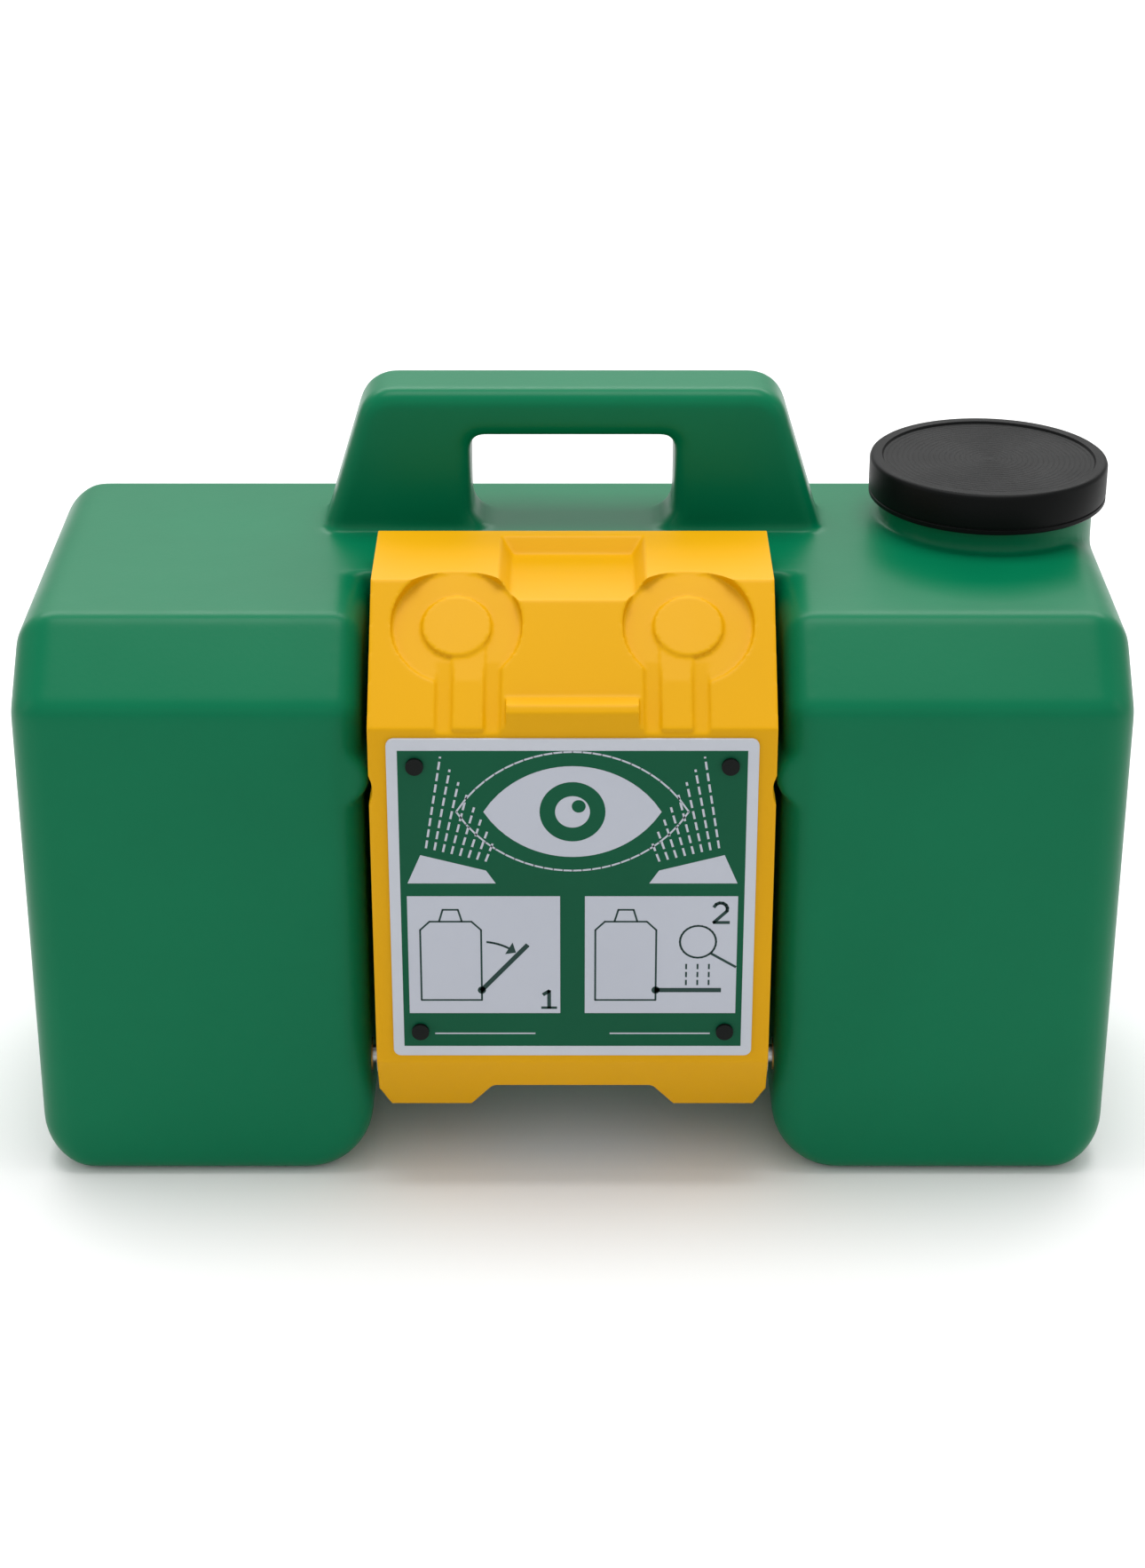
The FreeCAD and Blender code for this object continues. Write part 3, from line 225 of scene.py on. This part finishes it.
def softened(node, name, body, material, cell_mm, passes, keep):
    """A copy of a moulded node with its edges relaxed, which stands for the node."""
    obj = bpy.data.objects.new(name, nodes[node].data.copy())
    bpy.context.collection.objects.link(obj)
    cells = obj.modifiers.new("cells", "REMESH")
    cells.mode = "VOXEL"
    cells.voxel_size = cell_mm * MM
    relax = obj.modifiers.new("relax", "SMOOTH")
    relax.factor = 0.5
    relax.iterations = passes
    thin = obj.modifiers.new("thin", "DECIMATE")
    thin.ratio = keep
    settled(obj)
    obj.data.shade_smooth()
    obj.data.materials.clear()
    obj.data.materials.append(material)
    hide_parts(node)
    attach(obj, body)
    print(name, len(obj.data.polygons), "faces")
    return obj


tank = softened("tank_shell", "tank_skin", "tank", green_polyethylene, 1.9, 12, 0.28)
arm = softened("arm_shell", "arm_skin", "arm", yellow_abs, 1.0, 3, 0.35)

# %% [markdown]
# ## Turned pieces
# The screw cap is round, so it is a profile turned about its axis, as on a lathe.
# The profile goes up the outside and over the top, and fine rings in the cap's top come from the mould's
# own turning.


# %% Turn a profile
def turned(name, body, material, profile, at, steps=96):
    """A solid of revolution about Z: profile is (radius, height) in mm, from its inside up over its top."""
    mesh = bmesh.new()
    rings = []
    for radius, height in profile:
        ring = []
        for i in range(steps):
            turn = math.tau * i / steps
            across, deep = radius * math.cos(turn), radius * math.sin(turn)
            ring.append(mesh.verts.new((across * MM, deep * MM, height * MM)))
        rings.append(ring)
    for low, high in zip(rings, rings[1:]):
        for i in range(steps):
            mesh.faces.new((low[i], low[(i + 1) % steps], high[(i + 1) % steps], high[i]))
    mesh.faces.new(list(reversed(rings[0])))
    mesh.faces.new(rings[-1])
    data = bpy.data.meshes.new(name)
    mesh.to_mesh(data)
    mesh.free()
    data.transform(Matrix.Translation(Vector(at)))
    data.shade_smooth()
    data.set_sharp_from_angle(angle=math.radians(35))
    data.materials.append(material)
    obj = bpy.data.objects.new(name, data)
    bpy.context.collection.objects.link(obj)
    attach(obj, body)
    return obj


# %% [markdown]
# ## The screw cap
# The cap is black polypropylene, moulded, 132 mm across, with a shallow groove round its side and a
# dished top. It could be a cylinder with bevels, but a turned profile also carries the fine rings in the
# top.

# %% The screw cap
DISH_STEP, RING_GAP, RING_DEEP = 0.45, 2.9, 0.16  # the fine rings in the top, in mm
cap_low, cap_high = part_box("fill_cap")
cap_centre = ((cap_low.x + cap_high.x) / 2, (cap_low.y + cap_high.y) / 2, cap_low.z)
cap_radius = (cap_high.x - cap_low.x) / 2 / MM
cap_tall = (cap_high.z - cap_low.z) / MM
cap_inside = cap_radius - 5.2  # the wall is 5.2 mm, with the thread's clearance
dish = cap_tall - 1.5  # the top sinks 1.5 mm inside its rim
cap_profile = [
    (cap_inside, cap_tall - 4.0), (cap_inside, 0.8), (cap_inside + 0.6, 0.0), (cap_radius - 0.8, 0.0),
    (cap_radius - 0.1, 0.7), (cap_radius - 0.1, 2.6), (cap_radius - 0.7, 3.0), (cap_radius - 0.7, 3.5),
    (cap_radius - 0.1, 3.9), (cap_radius, 5.0), (cap_radius, cap_tall - 2.4),
    (cap_radius - 0.5, cap_tall - 1.0),
    (cap_radius - 1.6, cap_tall - 0.2), (cap_radius - 3.0, cap_tall), (cap_radius - 5.6, cap_tall),
    (cap_radius - 6.8, cap_tall - 0.3), (cap_radius - 7.6, dish),
]
ring_radius = cap_radius - 9.0
while ring_radius > 2.0:
    cap_profile += [(ring_radius, dish), (ring_radius - DISH_STEP, dish - RING_DEEP)]
    cap_profile += [(ring_radius - 2 * DISH_STEP, dish)]
    ring_radius -= RING_GAP
cap_profile.append((0.5, dish))
cap = turned("screw_cap", "cap", black_polypropylene, cap_profile, cap_centre, steps=128)
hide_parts("fill_cap")
print("cap", round(2 * cap_radius, 1), "mm across")

# %% [markdown]
# ## The sign
# The sign is a thin white plate, riveted to the arm and screen printed: one ink for the green ground, one
# for the white drawing on it and one for the fine dark lines of the two steps. Ink lies on a plate as
# thin flat shapes, so each ink is a flat mesh, a few hundredths of a millimetre in front of the last. The
# drawings are plain and are made of arcs, discs and lines: an eye, two spray heads with their jets, and
# the two steps, pull the arm down and lean over it. Two short rules fill the strip at the bottom.

# %% The plate and its inks
white_plate = moulded("white_plate", "#c3c7cf", "#bbbfc8", 0.34, 1.5, 0.01, 40.0, 0.02, 1.5)
green_ink = moulded("green_ink", "#07563a", "#064c33", 0.36, 1.2, 0.01, 40.0, 0.02, 1.5)
white_ink = moulded("white_ink", "#bcc0ca", "#b4b8c3", 0.36, 1.2, 0.01, 40.0, 0.02, 1.5)
line_ink = moulded("line_ink", "#2c4440", "#243a37", 0.4, 1.2, 0.01, 40.0, 0.02, 1.5)
wear(nodes["sign_plate"], white_plate)
wear(nodes["sign_rivets"], black_nylon)
plate_low, plate_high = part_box("sign_plate")
INK = 0.05 * MM


def printed(name, shapes, material, layer):
    """One ink: flat shapes of (across, up) in mm, from the arm's middle and the floor."""
    mesh = bmesh.new()
    depth = plate_low.y - layer * INK
    for shape in shapes:
        around = sum(a[0] * b[1] - b[0] * a[1] for a, b in zip(shape, shape[1:] + shape[:1]))
        corners = shape if around > 0 else shape[::-1]
        mesh.faces.new([mesh.verts.new((x * MM, depth, z * MM)) for x, z in corners])
    bmesh.ops.triangulate(mesh, faces=mesh.faces[:])
    data = bpy.data.meshes.new(name)
    mesh.to_mesh(data)
    mesh.free()
    data.materials.append(material)
    obj = bpy.data.objects.new(name, data)
    bpy.context.collection.objects.link(obj)
    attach(obj, "arm")
    return obj


def line(points, width, ends=0.5):
    """A drawn line of that width, as one flat shape for each of its stretches."""
    shapes = []
    for (x0, z0), (x1, z1) in zip(points, points[1:]):
        long = math.hypot(x1 - x0, z1 - z0)
        if long < 1e-6:
            continue
        dx, dz = (x1 - x0) / long * width / 2, (z1 - z0) / long * width / 2
        ex, ez = dx * ends, dz * ends
        near = [(x0 - ex + dz, z0 - ez - dx), (x1 + ex + dz, z1 + ez - dx)]
        far = [(x1 + ex - dz, z1 + ez + dx), (x0 - ex - dz, z0 - ez + dx)]
        shapes.append(near + far)
    return shapes


def dashed(start, end, width, dash=4.6, gap=1.9):
    """A dashed line, for a jet of water."""
    long = math.dist(start, end)
    shapes, at = [], 0.0
    while at < long:
        stop = min(at + dash, long)
        ends = [tuple(a + (b - a) * t / long for a, b in zip(start, end)) for t in (at, stop)]
        shapes += line(ends, width, 0.0)
        at += dash + gap
    return shapes


def bow(half, rise, steps=24):
    """A circular arc from (-half, 0) over (0, rise) to (half, 0)."""
    radius = (half * half + rise * rise) / (2 * abs(rise))
    side = math.copysign(1, rise)
    across = [half * (2 * i / steps - 1) for i in range(steps + 1)]
    return [(x, rise + side * (math.sqrt(radius * radius - x * x) - radius)) for x in across]


def almond(x, z, half, rise):
    """The outline of an open eye: one arc above and one below."""
    return [(x + px, z + pz) for px, pz in bow(half, rise) + bow(half, -rise)[-2:0:-1]]


def disc(x, z, radius, start=0.0, end=math.tau, steps=48):
    """A disc, or the part of one between two angles."""
    turns = [start + (end - start) * i / steps for i in range(steps + 1)]
    rim = [(x + radius * math.cos(turn), z + radius * math.sin(turn)) for turn in turns]
    return rim[:-1] if end - start > 6.28 else rim + [(x, z)]


def mirrored(shapes):
    """The same shapes on the other side of the arm's middle."""
    return [[(-x, z) for x, z in shape] for shape in shapes]


# %% [markdown]
# ## The eye and the jets
# The upper half of the sign shows an eye between two spray heads. An open eye is two arcs that meet in
# points, and each jet is a dashed line that leans a little more and reaches a little less than the one
# before it, so a loop draws them all. One side is drawn and then mirrored.

# %% The eye and the jets
EYE = 229.0  # height of the eye's middle above the floor
ground = [(-89.8, 89.8), (89.8, 89.8), (89.8, 263.6), (-89.8, 263.6)]
printed("print_ground", [ground], green_ink, 1)
halo = almond(0, EYE, 60, 34)
spray_head = [(-79, 204), (-45, 195), (-40, 187.5), (-86, 187.5)]
jets = []
for i in range(8):
    foot = (-76 + 4.4 * i, 208 - 1.1 * i)
    lean = math.radians(9 + 1.6 * i)
    reach = 53 - 6 * i
    jets += dashed(foot, (foot[0] + reach * math.sin(lean), foot[1] + reach * math.cos(lean)), 1.15)
spray = [spray_head] + jets
white = line(halo + halo[:1], 0.95) + spray + mirrored(spray)
printed("print_white", white, white_ink, 2)
printed("print_eye", [almond(0, EYE, 46, 26)], white_ink, 3)
printed("print_iris", [disc(0, EYE, 17)], green_ink, 4)
printed("print_pupil", [disc(0, EYE, 9)], white_ink, 5)
printed("print_glint", [disc(3.2, EYE + 3.2, 3.6, steps=24)], green_ink, 6)

# %% [markdown]
# ## The two steps
# Two white panels show what to do: pull the arm down, then lean over the water. Each is a plain side view
# of the tank from a few straight lines, with a pivot, an arm and an arrow or a head. The digits 1 and 2
# are drawn as lines too, because a font would be a file to load.

# %% The two steps
PANEL_LOW, PANEL_HIGH = 110.0, 180.0
panels = [[(-86.5, PANEL_LOW), (-6.5, PANEL_LOW), (-6.5, PANEL_HIGH), (-86.5, PANEL_HIGH)]]
rules = line([(-73, 97.6), (-20, 97.6)], 0.8)
printed("print_panels", panels + mirrored(panels) + rules + mirrored(rules), white_ink, 3)


def station(x):
    """A plain side view of the tank, its lower corner at x, with its handle and its pivot."""
    body = [(x, 118), (x, 160), (x + 5, 165), (x + 27, 165), (x + 32, 160), (x + 32, 118), (x, 118)]
    grip = [(x + 10, 165), (x + 12, 172), (x + 20, 172), (x + 22, 165)]
    return line(body, 1.0) + line(grip, 1.0) + [disc(x + 32, 124, 2.2, steps=20)]


def along(x, z, length, degrees):
    turn = math.radians(degrees)
    return x + length * math.cos(turn), z + length * math.sin(turn)


pivot = (-48, 124)
pull = station(-80) + line([pivot, along(*pivot, 36, 48)], 2.6)
sweep = [along(*pivot, 29, 84 - 4 * i) for i in range(7)]
pull += line(sweep, 1.2) + [[along(*pivot, 33, 60), along(*pivot, 25, 60), along(*pivot, 29, 51)]]
pull += line([(-15.3, 121.4), (-12.4, 123.4), (-12.4, 113.3)], 2.0)
pull += line([(-16.2, 113.3), (-8.6, 113.3)], 1.5)
lean_over = station(12) + line([(44, 124), (78, 124)], 2.6)
lean_over += line(disc(66, 153, 9.5, steps=28) + [(75.5, 153)], 1.1) + line([(73, 146), (86, 138)], 1.4)
for across in (60, 66, 72):
    lean_over += dashed((across, 127), (across, 141), 1.0, 3.2, 1.6)
top_of_two = [along(77.5, 172.5, 3.6, 160 - 30 * i) for i in range(7)]
lean_over += line(top_of_two + [(74, 164.5), (82, 164.5)], 1.8)
printed("print_steps", pull + lean_over, line_ink, 4)
print("sign", round((plate_high.x - plate_low.x) / MM), "by", round((plate_high.z - plate_low.z) / MM), "mm")

# %% [markdown]
# ## Floor and light
# The station stands on a pale, wide floor in a bright, even studio, which does most of the lighting and
# keeps the surroundings pale from every side. One soft box overhead brightens the shoulders and draws the
# highlights along the rounded edges, weak ones at the front and sides lift the upright faces, and the
# last lights the floor far behind, so that it stays white up to the top of the frame.


# %% Floor and lamps
floor_mesh = bpy.data.meshes.new("floor")
floor_mesh.from_pydata([(-8, -6, 0), (8, -6, 0), (8, 12, 0), (-8, 12, 0)], [], [(0, 1, 2, 3)])
floor = bpy.data.objects.new("floor", floor_mesh)
bpy.context.collection.objects.link(floor)
pale_floor, floor_shader = new_material("pale_floor")
floor_shader.inputs["Base Color"].default_value = linear("#f6f6f6")
floor_shader.inputs["Roughness"].default_value = 0.9
floor_mesh.materials.append(pale_floor)


def soft_box(name, at, towards, wide, tall, watts):
    """A rectangular soft light that faces a point."""
    lamp = bpy.data.lights.new(name, "AREA")
    lamp.shape = "RECTANGLE"
    lamp.size, lamp.size_y = wide, tall
    lamp.energy = watts
    obj = bpy.data.objects.new(name, lamp)
    obj.location = at
    obj.rotation_euler = (Vector(towards) - Vector(at)).to_track_quat("-Z", "Y").to_euler()
    bpy.context.collection.objects.link(obj)


soft_box("overhead", (0.0, 0.1, 2.2), (0, 0.0, 0.2), 1.6, 0.9, 28)
soft_box("front", (0.0, -2.6, 1.6), (0, 0, 0.15), 1.8, 1.2, 2)
soft_box("side_left", (-2.0, -0.3, 0.9), (0, 0, 0.2), 0.4, 1.2, 2)
soft_box("side_right", (2.0, -0.3, 0.9), (0, 0, 0.2), 0.4, 1.2, 2)
soft_box("backdrop", (0.0, 4.2, 3.2), (0, 4.6, 0), 6.0, 3.0, 260)
world = bpy.data.worlds.new("studio")
world.use_nodes = True
world.node_tree.nodes["Background"].inputs["Color"].default_value = linear("#ffffff")
world.node_tree.nodes["Background"].inputs["Strength"].default_value = 0.72
bpy.context.scene.world = world
# The standard view keeps the plastics' colours as strong as they are.
bpy.context.scene.view_settings.view_transform = "Standard"
